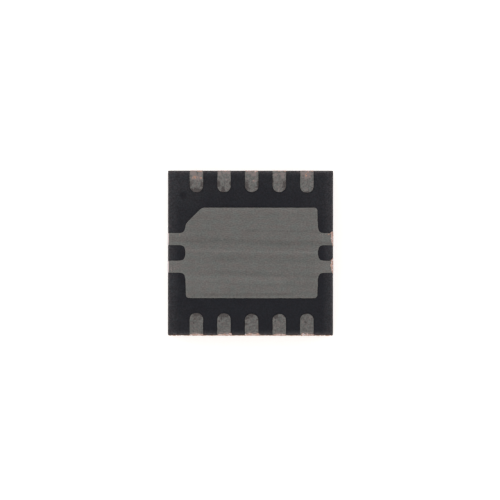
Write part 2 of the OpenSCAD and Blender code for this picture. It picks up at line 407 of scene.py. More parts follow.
def landMarks(point, middle, number, sizes, seed):
    # how stained, how pink and how much lighter a land is at a place
    across, fromCut = point.x - middle, mouldHigh.y - abs(point.y)
    wild = ripple(point, 0.04, seed) + 0.8 * ripple(point, 0.017, seed + 1)
    dots = 0.7 * fade(ripple(point, 0.026, seed + 2), 0.62, 0.46) * fade(fromCut, 0.3, 0.12)
    stain = max(dots, patchShare(across, fromCut, sizes["stains"][number], wild))
    wild = ripple(point, 0.045, seed + 3) + 0.7 * ripple(point, 0.018, seed + 4)
    pink = patchShare(across, fromCut, sizes["pinks"][number], wild)
    lighter = sizes["lighter"][number] + 0.06 * ripple(point, 0.06, seed + 5)
    if point.y > 0:
        lighter += sizes["lift"] * fade(fromCut, 0.02, sizes["pinkReach"])
    return stain, pink, lighter


def padMarks(point, sizes):
    lighter, soft = 0.02 * ripple(point, 0.35, 3.0), sizes["rollEnd"]
    for i, (place, slope, half, strength, start, end) in enumerate(sizes["rollMarks"]):
        near = fade(abs(point.y - place - slope * point.x), 0.3 * half, half)
        near *= fade(point.x, start + soft, start - soft) * fade(point.x, end - soft, end + soft)
        if near:
            uneven = ripple((point.x, 5.0 * i, 0), 0.35, 1.0) + 0.8 * ripple(point, 0.04, 2.0)
            lighter += near * strength * (1.05 + 0.3 * uneven)
    # lighter again towards the sawn ends of the tie bars
    lighter += sizes["endLift"] * fade(mouldHigh.x - abs(point.x), 0.1, 0.45)
    speck = ripple(point, 0.06, 12.0) + 0.5 * ripple(point, 0.03, 13.0)
    return 0.0, max(0.0, min(1.0, (speck - 0.8) / 0.2)), lighter


def orderedLoop(edges):
    # the vertices of a closed loop of edges, in order
    known = set(edges)
    loop = list(edges[0].verts)
    while True:
        following = next(e for e in loop[-1].link_edges if e in known and loop[-2] not in e.verts)
        nextVert = following.other_vert(loop[-1])
        if nextVert is loop[0]:
            return loop
        loop.append(nextVert)


def makePlatedPiece(node, name, material, sizes, seed, number=None):
    bm = nodeMesh(node)
    bmesh.ops.dissolve_limit(bm, angle_limit=0.01, verts=bm.verts, edges=bm.edges)
    cut = {"plane_co": (0, 0, mouldHigh.z - platedBoth["rootDepth"]), "plane_no": (0, 0, 1)}
    everything = bm.verts[:] + bm.edges[:] + bm.faces[:]
    bmesh.ops.bisect_plane(bm, geom=everything, dist=1e-5, clear_outer=True, **cut)
    splitEdges([e for e in bm.edges if e.is_boundary], sizes["outlineStep"])
    ring = orderedLoop([e for e in bm.edges if e.is_boundary])
    # the sawn ends, with the blade's marks
    for axis, level in blockSides[:4]:
        splitEdges(flatRegion(bm, axis, level)[2], platedBoth["endEdgeStep"])
        border = openPlane(bm, axis, level)
        for v in fillRegion(bm, border, axis, level, platedBoth["endNetStep"]) if border else []:
            v.co[axis] += math.copysign(platedBoth["sawLines"], level) * bladeMarks(v.co, axis)
    count = len(ring)
    outline = [v.co.copy() for v in ring]
    middle = (min(p.x for p in outline) + max(p.x for p in outline)) / 2
    area = sum(outline[i - 1].x * outline[i].y - outline[i].x * outline[i - 1].y for i in range(count))
    tip, span = sizes["tips"].get(number, 0.0), platedBoth["hollowSpan"]
    outward, wander = [], []
    for i, p in enumerate(outline):
        run = (outline[(i + 1) % count] - outline[i - 1]).normalized()
        outward.append(Vector((run.y, -run.x, 0)) * (1 if area > 0 else -1))
        away = edgeWander(p, sizes, seed) + tip * fade(mouldHigh.y - abs(p.y), *platedBoth["tipZone"])
        sag = (outline[(i + span) % count] + outline[i - span]) / 2 - p
        wander.append(away + sizes["hollowFill"] * max(0.0, sag.dot(outward[i])))
    # the wall, then the rounded rim, as (distance in from the outline, height)
    radius, rings = sizes["rimRadius"], platedBoth["rimRings"]
    profile = [(0, mouldHigh.z - platedBoth["wallDepth"])]
    for i in range(rings + 1):
        turn = math.pi / 2 * i / rings
        profile.append((radius * (1 - math.cos(turn)), landTop - radius + radius * math.sin(turn)))
    for inset, height in profile:
        fresh = []
        for p, side, away in zip(outline, outward, wander):
            place = p + side * (away - inset)
            fresh.append(bm.verts.new((place.x, place.y, height)))
        joinRings(bm, ring, fresh)
        ring = fresh
    rim = [bm.edges.get((ring[i - 1], ring[i])) for i in range(count)]
    for v in fillRegion(bm, rim, 2, landTop, sizes["capStep"]):
        v.co.z += faceRelief(v.co, sizes, seed)
    # what the material reads: the distance in from the outline, and the marks of the plated face
    layers = {label: bm.verts.layers.float.new(label) for label in ("inset", "stain", "pink", "lighter")}
    outlineTree = flatTree(outline)
    for v in bm.verts:
        marks = [outlineTree.find((v.co.x, v.co.y, 0))[2]]
        if v.co.z >= mouldHigh.z - platedBoth["markDepth"]:
            marks += landMarks(v.co, middle, number, sizes, seed) if number else padMarks(v.co, sizes)
        for layer, value in zip(layers.values(), marks):
            v[layer] = value
    finishPiece(bm, name, material, 50, node)


# Saw burrs: copper that the blade smeared over the sawn ends of the frame

sawBurrs = {
    "columnStep": 0.0036,  # spacing along a smear, mm
    "rowsIn": 9,
    "rowsDown": 6,
    "back": 0.003,  # the sheet's back lies this far inside the metal
    "taper": (0.012, -0.001),  # how far from its ends a smear is whole, and where it is gone
    "tiePitch": 0.5,
    # thickness, reach down the cut, wildness, share of the listed reaches
    "thin": (0.004, 0.04, 1.0, 0.88),
    "thick": (0.007, 0.06, 0.09, 0.88),
    "line": (0.016, 0.05, 0.3, 1.0),
    # how far each smear reaches in over the face, at places along the cut from the land's middle
    "leads": microns({
        6: [(-110, 12), (-95, 26), (-86, 42), (-70, 52), (-58, 44), (-48, 28), (-10, 26), (0, 42), (14, 42),
            (22, 28), (125, 24), (133, 4)],
        7: [(-108, 4), (-95, 25), (-5, 27), (0, 35), (8, 35), (14, 26), (110, 26), (125, 4)],
        8: [(-124, 6), (-114, 24), (-60, 26), (-50, 42), (8, 42), (20, 28), (90, 30), (98, 42), (128, 42),
            (135, 24), (150, 22), (155, 4)],
        9: [(-112, 6), (-100, 24), (-20, 26), (0, 26), (6, 40), (18, 40), (24, 27), (85, 28), (95, 44),
            (135, 44), (148, 6)],
        10: [(-122, 6), (-112, 25), (-30, 27), (0, 29), (80, 27), (118, 24), (128, 4)],
    }),
    "firstRow": microns([(-122, 3), (-100, 7), (100, 7), (122, 3)]),
    # the same for the tie bars by side and row, and for the copper dragged along the lower cut
    "bars": microns({
        (1, 1): [(-128, 6), (-110, 16), (-70, 21), (-60, 35), (0, 39), (8, 54), (18, 54), (26, 40), (95, 40),
                 (104, 56), (118, 56), (124, 40), (134, 36), (138, 4)],
        (1, -1): [(-130, 6), (-105, 18), (-90, 20), (-80, 35), (-35, 39), (-10, 41), (0, 53), (40, 57),
                  (50, 41), (100, 39), (112, 48), (122, 42), (135, 24), (152, 16), (158, 4)],
        (-1, 1): [(-112, 4), (-100, 18), (100, 19), (116, 4)],
        (-1, -1): [(-112, 4), (-100, 18), (90, 19), (108, 4)],
    }),
    "dragged": microns([(-1483, 1), (-1460, 4), (1460, 5), (1483, 2)]),
    "pale": {-1: 0.6, 1: 0.0},  # how much of a painted white highlight the smears on each side's bars carry
}


def reachAt(strip, place):
    # reads a smear's reach between its listed places
    for (low, first), (high, second) in zip(strip, strip[1:]):
        if place <= high:
            return first + (second - first) * max(0.0, (place - low) / (high - low))
    return strip[-1][1]


def addBurr(bm, middle, along, inward, strip, form, sizes, seed):
    # one smear, from the plated face over the top edge and down the cut
    thick, down, wildness, narrow = form
    strip = [(place, reach * narrow) for place, reach in strip]
    rowsIn, rowsDown = sizes["rowsIn"], sizes["rowsDown"]
    low, high = strip[0][0], strip[-1][0]
    columns = math.ceil((high - low) / sizes["columnStep"])
    up = Vector((0, 0, 1))
    front, back = [], []
    for c in range(columns + 1):
        offset = low + (high - low) * c / columns
        place = middle + along * offset
        crest = fade(min(offset - low, high - offset), *sizes["taper"])
        wild = wildness * (ripple(place, 0.035, seed) + 0.7 * ripple(place, 0.012, seed + 1))
        reachIn = reachAt(strip, offset) * max(0.1, 1 + wild)
        hang = 0.5 + 0.9 * ripple(place, 0.13, seed + 5) + 0.45 * ripple(place, 0.03, seed + 2)
        reachDown = down * crest * max(0.12, hang)
        front.append([])
        back.append([])
        for r in range(rowsIn + rowsDown + 1):
            if r <= rowsIn:
                v = 1 - r / rowsIn
                spot = place + inward * reachIn * v
                out = (up * v + (up - inward) * (1 - v)).normalized()
            else:
                v = (r - rowsIn) / rowsDown
                spot = place - Vector((0, 0, reachDown * v))
                out = (up * (1 - v) - inward).normalized()
            body = (1 - v ** 4) * crest ** 0.5
            bumps = 0.65 + 0.7 * ripple(spot, 0.016, seed + 3) + 0.4 * ripple(spot, 0.007, seed + 4)
            front[c].append(bm.verts.new(spot + out * thick * body * max(0.1, bumps)))
            back[c].append(bm.verts.new(spot - out * sizes["back"]))
    last = rowsIn + rowsDown
    for c in range(columns):
        for r in range(last):
            bm.faces.new((front[c][r], front[c + 1][r], front[c + 1][r + 1], front[c][r + 1]))
            bm.faces.new((back[c][r + 1], back[c + 1][r + 1], back[c + 1][r], back[c][r]))
        for r in (0, last):
            bm.faces.new((front[c][r], back[c][r], back[c + 1][r], front[c + 1][r]))
    for c in (0, columns):
        for r in range(last):
            bm.faces.new((front[c][r], front[c][r + 1], back[c][r + 1], back[c][r]))
    return sum(front + back, [])


def makeSawBurrs(material, sizes):
    bm = bmesh.new()
    deepLayer, paleHighlightLayer = bm.verts.layers.float.new("deep"), bm.verts.layers.float.new("pale")
    alongX, alongY = Vector((1, 0, 0)), Vector((0, 1, 0))
    # the blade dragged copper all along the lower cut
    middle = Vector((0, mouldLow.y, mouldHigh.z))
    for v in addBurr(bm, middle, alongX, alongY, sizes["dragged"], sizes["line"], sizes, 33.0):
        v[deepLayer] = 1.0
    for i, number in enumerate(leadNumbers):
        low, high = (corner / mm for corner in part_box(f"lead_{number}"))
        side = 1 if high.y > 0 else -1
        strip = sizes["leads"].get(number, sizes["firstRow"])
        form = sizes["thin"] if side > 0 else sizes["thick"]
        middle = Vector(((low.x + high.x) / 2, side * mouldHigh.y, landTop))
        addBurr(bm, middle, alongX, Vector((0, -side, 0)), strip, form, sizes, 20.0 + i)
    for (side, row), strip in sizes["bars"].items():
        middle = Vector((side * mouldHigh.x, row * sizes["tiePitch"] / 2, landTop))
        inward, form, seed = Vector((-side, 0, 0)), sizes["thick"], 40.0 + 3 * side + row
        for v in addBurr(bm, middle, alongY, inward, strip, form, sizes, seed):
            v[paleHighlightLayer] = sizes["pale"][side]
    finishPiece(bm, "saw_burrs", material, 60)


# Copper scraps that the saw pressed onto the plated faces, and painted glint highlights made as small flakes

scrapsAndGlints = {
    "radius": 0.0075,  # mm
    "thick": 0.0022,
    "points": 9,
    "rings": [(1.0, -0.6), (0.9, 0.3), (0.55, 1.0)],  # shares of the radius and of the thickness
    "seed": 5,
    # place, half length and half width in microns, turn in degrees, how many, how bare (above 1 also a
    # painted glint highlight)
    "clusters": [
        (-1013, 1385, 26, 5, 0, 7, 1.0), (-1047, 1357, 5, 14, 0, 4, 1.0), (-986, 1367, 29, 5, 0, 8, 1.0),
        (-995, 1348, 5, 5, 0, 2, 1.0), (-900, 1358, 10, 12, -40, 5, 1.0), (-922, 1478, 45, 5, 0, 9, 0.9),
        (-452, 1478, 8, 5, 0, 2, 1.0), (-81, 1478, 16, 5, 0, 3, 0.8), (37, 1478, 8, 5, 0, 2, 0.8),
        (83, 1474, 16, 7, 0, 6, 1.5), (88, 1458, 10, 6, 0, 3, 0.9), (119, 1478, 18, 5, 0, 4, 0.9),
        (55, 1312, 5, 5, 0, 1, 1.0), (510, 1478, 8, 5, 0, 2, 0.8), (625, 1478, 18, 5, 0, 4, 0.9),
        (1042, 1478, 12, 5, 0, 4, 1.4), (1042, 1460, 10, 6, 0, 3, 0.9), (1014, 1443, 6, 6, 0, 2, 0.9),
        (995, 1424, 6, 6, 0, 2, 0.9), (1010, 1405, 17, 6, 0, 5, 1.0), (1002, 1388, 11, 5, 0, 3, 0.9),
        (1069, 1388, 5, 5, 0, 1, 0.9), (1132, 1478, 18, 5, 0, 4, 0.9), (1413, 337, 18, 5, 0, 4, 0.8),
        (1376, 337, 22, 5, 0, 3, 0.1), (1275, 330, 35, 8, 0, 3, 0.0), (-1459, 333, 14, 12, 0, 4, 0.1),
        (-1290, 325, 5, 5, 0, 1, 0.5), (-1447, -299, 22, 40, 0, 9, 0.0), (-1370, -285, 6, 6, 0, 1, 0.1),
        (550, 1125, 10, 8, 0, 1, 0.1), (-385, -1165, 6, 12, 0, 2, 0.1),
    ],
    # painted glint highlights on the smeared copper, as small flakes, and how far they lie above the lands'
    # faces
    "glints": microns([
        (960, -1466), (942, -1475), (978, -1475), (1033, -1472), (526, -1475), (-17, -1457), (37, -1475),
        (-90, -1475), (-406, -1475), (-352, -1475), (-560, -1475), (-1076, -1475), (1467, 262), (1485, -307),
        (1485, -136),
    ]),
    "glintLift": 0.006,
    "glintBare": 2.0,
}


def addScrap(bm, spot, sizes, seed):
    # a small ragged flake, bedded a little into the face
    rings = []
    for share, height in sizes["rings"]:
        rings.append([])
        for i in range(sizes["points"]):
            turn = 2 * math.pi * i / sizes["points"]
            away = Vector((math.cos(turn), math.sin(turn), 0))
            reach = sizes["radius"] * share * (1 + 0.7 * ripple(spot + 0.02 * away, 0.03, seed))
            lift = Vector((0, 0, sizes["thick"] * height))
            rings[-1].append(bm.verts.new(spot + away * reach + lift))
    bm.faces.new(rings[0][::-1])
    for low, high in zip(rings, rings[1:]):
        joinRings(bm, low, high)
    bm.faces.new(rings[-1])
    return sum(rings, [])


def makeScrapsAndGlints(material, sizes):
    bm = bmesh.new()
    bareLayer = bm.verts.layers.float.new("bare")
    chance = random.Random(sizes["seed"])
    for *place, turn, count, bare in sizes["clusters"]:
        x, y, halfLength, halfWidth = microns(place)
        along = Vector((math.cos(math.radians(turn)), math.sin(math.radians(turn)), 0))
        across = Vector((-along.y, along.x, 0))
        for i in range(count):
            shares = chance.uniform(-1, 1), chance.uniform(-1, 1)
            spot = Vector((x, y, landTop)) + along * shares[0] * halfLength + across * shares[1] * halfWidth
            for v in addScrap(bm, spot, sizes, chance.uniform(0, 50)):
                v[bareLayer] = bare
    # painted glint highlights: flakes coloured as white glints
    for x, y in sizes["glints"]:
        spot = Vector((x, y, landTop + sizes["glintLift"]))
        for v in addScrap(bm, spot, sizes, chance.uniform(0, 50)):
            v[bareLayer] = sizes["glintBare"]
    finishPiece(bm, "copper_scraps_and_glints", material, 30)


# Shader helpers

def setInputs(node, values):
    # sets or links a node's inputs, by name or number
    for key, value in values.items():
        if isinstance(value, bpy.types.NodeSocket):
            node.id_data.links.new(value, node.inputs[key])
        else:
            node.inputs[key].default_value = value


def addNode(kind, values, **more):
    # adds a shader node beside the nodes that feed it, and gives its outputs
    fed = next(value for value in values.values() if isinstance(value, bpy.types.NodeSocket))
    node = fed.id_data.nodes.new(kind)
    for key, value in more.items():
        setattr(node, key, value)
    setInputs(node, values)
    return node.outputs


def calc(operation, a, b=0.0, clamp=False):
    return addNode("ShaderNodeMath", {0: a, 1: b}, operation=operation, use_clamp=clamp)[0]


times, plus, minus = (partial(calc, operation) for operation in ("MULTIPLY", "ADD", "SUBTRACT"))
oneOver = partial(calc, "DIVIDE", 1.0)


def vectorCalc(operation, a, b, output=0):
    return addNode("ShaderNodeVectorMath", {0: a, 1: b}, operation=operation)[output]


def splitVector(vector):
    return addNode("ShaderNodeSeparateXYZ", {0: vector})


def noiseAt(place, scale, detail, roughness=0.5):
    values = {"Vector": place, "Scale": scale, "Detail": detail, "Roughness": roughness}
    return addNode("ShaderNodeTexNoise", values)[0]


def readMark(place, label):
    # what a piece's mesh says under a name
    node = place.id_data.nodes.new("ShaderNodeAttribute")
    node.attribute_name = label
    return node.outputs["Fac"]


def remap(value, low, high, toLow=0.0, toHigh=1.0, kind="SMOOTHSTEP"):
    values = {0: value, 1: low, 2: high, 3: toLow, 4: toHigh}
    return addNode("ShaderNodeMapRange", values, interpolation_type=kind)[0]


def blend(mask, a, b, mode="MIX"):
    return addNode("ShaderNodeMix", {0: mask, 6: a, 7: b}, data_type="RGBA", blend_type=mode)[2]


def shaded(a, b):
    # a colour multiplied by another or by a shade
    return blend(1.0, a, b, "MULTIPLY")


def cover(colour, mask, layer):
    # a colour covered where the mask is by a layer, which is a colour and how strongly it covers
    return blend(times(mask, layer[1]), colour, layer[0])


def newGroup(name, inputs, build):
    # a node group: build gives its outputs, by name, from its inputs
    group = bpy.data.node_groups.new(name, "ShaderNodeTree")
    group.interface.new_socket("Position", in_out="INPUT", socket_type="NodeSocketVector")
    for label, value in inputs.items():
        socket = group.interface.new_socket(label, in_out="INPUT", socket_type="NodeSocketFloat")
        socket.default_value = value
    made = build(group.nodes.new("NodeGroupInput").outputs)
    for label in made:
        kind = "NodeSocketColor" if label == "Colour" else "NodeSocketFloat"
        group.interface.new_socket(label, in_out="OUTPUT", socket_type=kind)
    setInputs(group.nodes.new("NodeGroupOutput"), made)
    return group


def useGroup(group, place, values):
    return addNode("ShaderNodeGroup", {"Position": place, **values}, node_tree=group)


def buildGrain(start):
    # fine grain and soft blotches, as of a filled resin or a plated face; Colour is a factor for the
    # surface's own colour, lighter and darker with the grain, cooler and warmer in patches
    place = start["Position"]
    fine = noiseAt(place, oneOver(start["Size"]), 3.0)
    broad = noiseAt(place, oneOver(start["Blotch"]), 2.0)
    cast = noiseAt(vectorCalc("ADD", place, (3.7, 1.9, 5.3)), oneOver(start["Cast Size"]), 3.0, 0.75)
    shade = remap(fine, 0.3, 0.7)
    tint = blend(remap(cast, 0.35, 0.65), (0.90, 1.05, 1.05, 1), (1.10, 0.95, 0.95, 1))
    tint = blend(start["Cast"], (1, 1, 1, 1), tint)
    level = times(minus(shade, 0.5), start["Contrast"])
    colour = shaded(tint, plus(level, 1.0))
    return {"Shade": shade, "Broad": remap(broad, 0.33, 0.67), "Height": fine, "Colour": colour}


def buildStreaks(start):
    # long thin streaks that run along X, as of brushing or rolling
    x, y, z = splitVector(start["Position"])
    alongX = calc("DIVIDE", x, start["Stretch"])
    drawn = addNode("ShaderNodeCombineXYZ", {0: alongX, 1: y, 2: z})[0]
    scale = oneOver(start["Spacing"])
    fine = noiseAt(drawn, scale, 2.0)
    broad = noiseAt(drawn, times(scale, 0.22), 1.0)
    shade = plus(times(fine, 0.5), times(broad, 0.5))
    return {"Shade": remap(shade, 0.36, 0.64), "Height": fine}


def buildFlecks(start):
    # scattered small flecks: a mask that is 1 on them
    cells = noiseAt(start["Position"], oneOver(start["Size"]), 1.5)
    level = minus(0.78, times(start["Amount"], 0.4))
    return {"Mask": remap(cells, level, plus(level, 0.05), kind="LINEAR")}


def buildSawnSide(start):
    # masks by the distance in from the sawn sides: on the cut itself, and fading in from it
    place = start["Position"]
    wild = times(minus(noiseAt(place, 9.0, 5.0), 0.5), start["Ragged"])
    gaps, bands = [], []
    for i, reach in enumerate(("Reach X", "Reach Y")):
        gaps.append(minus(mouldHigh[i], calc("ABSOLUTE", splitVector(place)[i])))
        share = calc("DIVIDE", gaps[i], start[reach])
        bands.append(minus(plus(1.0, wild), share, True))
    # the two bands add up towards a corner
    both = plus(bands[0], times(bands[1], minus(1.3, bands[0])), True)
    return {"Cut": calc("LESS_THAN", calc("MINIMUM", *gaps), onCut), "Band": both}


grainInputs = {"Size": 0.02, "Blotch": 0.3, "Contrast": 0.3, "Cast": 0.5, "Cast Size": 0.04}
grain = newGroup("grain", grainInputs, buildGrain)
streaks = newGroup("streaks", {"Spacing": 0.02, "Stretch": 20.0}, buildStreaks)
flecks = newGroup("flecks", {"Size": 0.02, "Amount": 0.3}, buildFlecks)
sawnSide = newGroup("sawn_side", {"Reach X": 0.1, "Reach Y": 0.1, "Ragged": 0.5}, buildSawnSide)


def newMaterial(name, paint, *tones):
    # a material whose nodes are made by its paint function, from places in millimetres
    material = bpy.data.materials.new(name)
    material.use_nodes = True
    nodes = material.node_tree.nodes
    place = nodes.new("ShaderNodeTexCoord").outputs["Object"]
    paint(nodes["Principled BSDF"], vectorCalc("MULTIPLY", place, (1 / mm,) * 3), *tones)
    return material


def dress(shader, colour, fine, tones, metallic=0.0):
    # a finish's last links: roughness between two values by the shade, and relief of a depth in mm
    bump = {"Height": fine["Height"], "Distance": tones["relief"] * mm, "Strength": 1.0}
    setInputs(shader, {
        "Base Color": colour,
        "Roughness": remap(fine["Shade"], 0.0, 1.0, *tones["rough"]),
        "Metallic": metallic,
        "Normal": addNode("ShaderNodeBump", bump)[0],
    })


# Moulding compound: the colours that cover it are layers, each with how strongly it covers

compound = {
    "middle": (0.0092, 0.0092, 0.0128, 1),
    "blotch": ((0.0112, 0.0118, 0.0150, 1), 0.5),
    "outer": ((0.0195, 0.0192, 0.0222, 1), 0.6),  # towards the corners
    "edge": ((0.0325, 0.0310, 0.0345, 1), 0.95),  # along the sawn sides
    "worn": ((0.062, 0.053, 0.054, 1), 1.0),  # a lighter line right at the sawn edge
    "dip": ((0.0062, 0.0062, 0.0090, 1), 0.74),
    "speck": ((0.045, 0.038, 0.036, 1), 0.32),
    "markedLight": (0.018, 0.018, 0.020, 1),
    "dark": (0.0080, 0.0080, 0.0100, 1),
    "sawn": (0.030, 0.029, 0.029, 1),
    "filler": ((0.16, 0.155, 0.145, 1), 0.55),
    "smear": ((0.20, 0.13, 0.10, 1), 0.42),  # thin copper that the blade dragged over the cut
    "frameDepth": (0.26, 0.14),  # how far under the face that ends, and where it is full, mm
    "specular": 0.17,
    "rough": (0.48, 0.66),
    "relief": 0.0014,
    "centre": (0.08, -0.45, 0),  # the darkest place, and how far from it the lighter part starts, mm
    "corners": (1.2, 2.3),
    "paleCorner": (-1.49, 1.49, 0),  # the palest corner, how far it reaches and how strong it is
    "paleReach": 0.9,
    "paleStrength": 0.5,
    "calm": 0.15,  # how much weaker the grain is in the middle
    "grain": {"Size": 0.023, "Blotch": 0.3, "Contrast": 0.95, "Cast": 0.75, "Cast Size": 0.05},
    "edgeBand": {"Reach X": 0.20, "Reach Y": 0.10, "Ragged": 0.5},
    "edgeLineBand": {"Reach X": 0.045, "Reach Y": 0.045, "Ragged": 0.9},
    "specks": {"Size": 0.016, "Amount": 0.34},
    "cutGrain": {"Size": 0.012, "Blotch": 0.1, "Contrast": 0.5, "Cast": 0.5},
    "fillers": {"Size": 0.013, "Amount": 0.45},
    "drag": {"Spacing": 0.022, "Stretch": 9.0},
}


def paintCompound(shader, place, tones, block):
    fine = useGroup(grain, place, tones["grain"])
    colour = cover(tones["middle"], fine["Broad"], tones["blotch"])
    # lighter towards the corners, in soft uneven blotches
    flat = vectorCalc("MULTIPLY", place, (1, 1, 0))
    away = vectorCalc("DISTANCE", flat, tones["centre"], "Value")
    outer = remap(plus(away, times(fine["Broad"], 0.25)), *tones["corners"])
    colour = cover(colour, outer, tones["outer"])
    fromCorner = vectorCalc("DISTANCE", flat, tones["paleCorner"], "Value")
    pale = remap(fromCorner, tones["paleReach"], 0.0, 0.0, tones["paleStrength"])
    colour = blend(pale, colour, tones["edge"][0])
    for band, layer in (("edgeBand", "edge"), ("edgeLineBand", "worn")):
        side = useGroup(sawnSide, place, tones[band])
        colour = cover(colour, side["Band"], tones[layer])
    fromDip = vectorCalc("DISTANCE", flat, (*block["dip"], 0), "Value")
    dip = remap(fromDip, 1.25 * block["dipRadius"], 0.7 * block["dipRadius"])
    colour = cover(colour, dip, tones["dip"])
    calm = times(minus(1.0, outer), tones["calm"])
    colour = blend(calm, shaded(colour, fine["Colour"]), colour)
    specks = useGroup(flecks, place, tones["specks"])
    colour = cover(colour, specks["Mask"], tones["speck"])
    # the marked face is a little lighter and duller
    facing = splitVector(shader.id_data.nodes.new("ShaderNodeNewGeometry").outputs["Normal"])[2]
    marked = calc("LESS_THAN", facing, -0.6)
    colour = blend(times(marked, fine["Shade"]), colour, tones["markedLight"])
    # the sawn faces are lighter and show cut filler grains
    cuts = useGroup(grain, place, tones["cutGrain"])
    sawn = blend(cuts["Shade"], tones["dark"], tones["sawn"])
    fillers = useGroup(flecks, place, tones["fillers"])
    sawn = cover(sawn, fillers["Mask"], tones["filler"])
    # copper dragged along the cuts beside the lead frame
    x, y, height = splitVector(place)
    along = addNode("ShaderNodeCombineXYZ", {0: plus(x, y), 1: height})[0]
    drag = useGroup(streaks, along, tones["drag"])["Shade"]
    sawn = shaded(sawn, remap(drag, 0.0, 1.0, 0.78, 1.18))
    frameHigh = remap(height, *(mouldHigh.z - depth for depth in tones["frameDepth"]))
    smeared = times(remap(drag, 0.45, 0.9), frameHigh)
    sawn = cover(sawn, smeared, tones["smear"])
    upright = calc("LESS_THAN", calc("ABSOLUTE", facing), 0.6)
    colour = blend(upright, colour, sawn)
    shader.inputs["Specular IOR Level"].default_value = tones["specular"]
    dress(shader, colour, fine, tones)


# Plated copper of the lead frame

plating = {
    "stain": (0.088, 0.076, 0.073, 1),
    "pink": (0.275, 0.228, 0.215, 1),
    # painted highlight colour for the rounded rim of the plated edges
    "bright": (0.205, 0.198, 0.186, 1),
    "copper": (0.45, 0.295, 0.245, 1),
    "brightCopper": (0.66, 0.45, 0.37, 1),
    "deepCopper": (0.44, 0.262, 0.18, 1),  # dragged along the lower cut
    "scrap": (0.53, 0.32, 0.235, 1),
    "glintHighlight": (0.80, 0.75, 0.77, 1),  # painted glint highlights on the torn copper
    "rough": (0.38, 0.5),
    "relief": 0.0010,
    "rimHighlightBand": (0.016, 0.004),  # how far in from the outline the painted rim highlight starts and is full, mm
    "platedDepth": 0.006,  # how far under the moulding's surface the plating ends, mm
    "dots": {"Size": 0.02, "Amount": 0.72},
    "lines": {"Spacing": 0.012, "Stretch": 6.0},
    "dull": {"Size": 0.016, "Blotch": 0.08, "Contrast": 0.2, "Cast": 0.2},
}
# how strong the blotches, streaks and painted rim highlight are, and how far the grain is drawn out along X
padPlating = {
    "colour": (0.1705, 0.1635, 0.1525, 1), "blotches": 0.05, "streaked": 0.06, "rim": 0.45, "drawnOut": 1.8,
    "grain": {"Size": 0.018, "Blotch": 0.09, "Contrast": 0.35, "Cast": 0.36, "Cast Size": 0.10},
    "streaks": {"Spacing": 0.016, "Stretch": 7.0},
}
landPlating = {
    "colour": (0.158, 0.1495, 0.140, 1), "blotches": 0.08, "streaked": 0.0, "rim": 0.25, "drawnOut": 1.0,
    "grain": {"Size": 0.024, "Blotch": 0.055, "Contrast": 0.52, "Cast": 0.5, "Cast Size": 0.041},
    "streaks": {"Spacing": 0.02, "Stretch": 6.0},
}
# painted glint flecks on the smeared copper; the drawn wires have none
smearedCopper = {"rough": (0.34, 0.46), "relief": 0.0010, "glintFlecks": {"Size": 0.022, "Amount": 0.42}}
drawnCopper = {"rough": (0.24, 0.36), "relief": 0.0010, "glintFlecks": {"Size": 0.022, "Amount": 0.0}}
scrapAndGlintTones = {
    "rough": (0.35, 0.5), "relief": 0.0008,
    "grain": {"Size": 0.012, "Blotch": 0.05, "Contrast": 0.4, "Cast": 0.5},
}


def copperColour(place, tones):
    lines = useGroup(streaks, place, tones["lines"])
    return blend(lines["Shade"], tones["copper"], tones["brightCopper"]), lines["Height"]


def paintPlating(shader, place, tones, own):
    drawnOut = vectorCalc("MULTIPLY", place, (1 / own["drawnOut"], 1, 1))
    fine = useGroup(grain, drawnOut, own["grain"])
    drawn = useGroup(streaks, place, own["streaks"])
    colour = shaded(own["colour"], fine["Colour"])
    blotches = times(minus(fine["Broad"], 0.5), own["blotches"])
    lines = times(minus(drawn["Shade"], 0.5), own["streaked"])
    shade = plus(plus(blotches, lines), 1.0)
    colour = shaded(colour, plus(shade, readMark(place, "lighter")))
    # a thin painted highlight on the rim, where the etched edge is rounded and would catch the light
    rim = remap(readMark(place, "inset"), *tones["rimHighlightBand"])
    colour = blend(times(rim, own["rim"]), colour, tones["bright"])
    # pink and stained places, broken up by the grain and by small flecks
    broken = remap(fine["Shade"], 0.0, 1.0, 0.75, 1.0)
    colour = blend(times(readMark(place, "pink"), broken), colour, tones["pink"])
    dots = useGroup(flecks, place, tones["dots"])
    speckled = remap(dots["Mask"], 0.0, 1.0, 0.72, 1.0)
    colour = blend(times(readMark(place, "stain"), speckled), colour, tones["stain"])
    # bare copper where it was sawn, and under the moulding
    ends = useGroup(sawnSide, place, {})
    hidden = calc("LESS_THAN", splitVector(place)[2], mouldHigh.z - tones["platedDepth"])
    bare = copperColour(place, tones)[0]
    colour = blend(calc("MAXIMUM", hidden, ends["Cut"]), colour, bare)
    relief = plus(fine["Height"], times(drawn["Height"], own["streaked"]))
    dress(shader, colour, {"Shade": fine["Shade"], "Height": relief}, tones, 1.0)


def paintBareCopperAndGlints(shader, place, tones, own):
    colour, height = copperColour(place, tones)
    dull = useGroup(grain, place, tones["dull"])["Shade"]
    colour = blend(dull, tones["copper"], colour)
    colour = blend(readMark(place, "deep"), colour, tones["deepCopper"])
    # painted highlight: the pale mark lightens the left bars' smears towards a white glint
    colour = blend(readMark(place, "pale"), colour, tones["glintHighlight"])
    # painted glints: small flecks lightened to a white highlight
    glintFlecks = useGroup(flecks, place, own["glintFlecks"])
    colour = blend(glintFlecks["Mask"], colour, tones["glintHighlight"])
    dress(shader, colour, {"Shade": dull, "Height": height}, own, 1.0)


def paintScrapsAndGlints(shader, place, tones, own):
    # from the pink of heated plating to bare copper, and above that to a painted glint highlight
    bare = readMark(place, "bare")
    fine = useGroup(grain, place, own["grain"])
    colour = blend(remap(bare, 0.0, 1.0), tones["pink"], tones["scrap"])
    colour = blend(remap(bare, 1.0, 2.0), colour, tones["glintHighlight"])
    colour = shaded(colour, fine["Colour"])
    dress(shader, colour, fine, own, 1.0)


# Die and adhesive, which the moulding hides

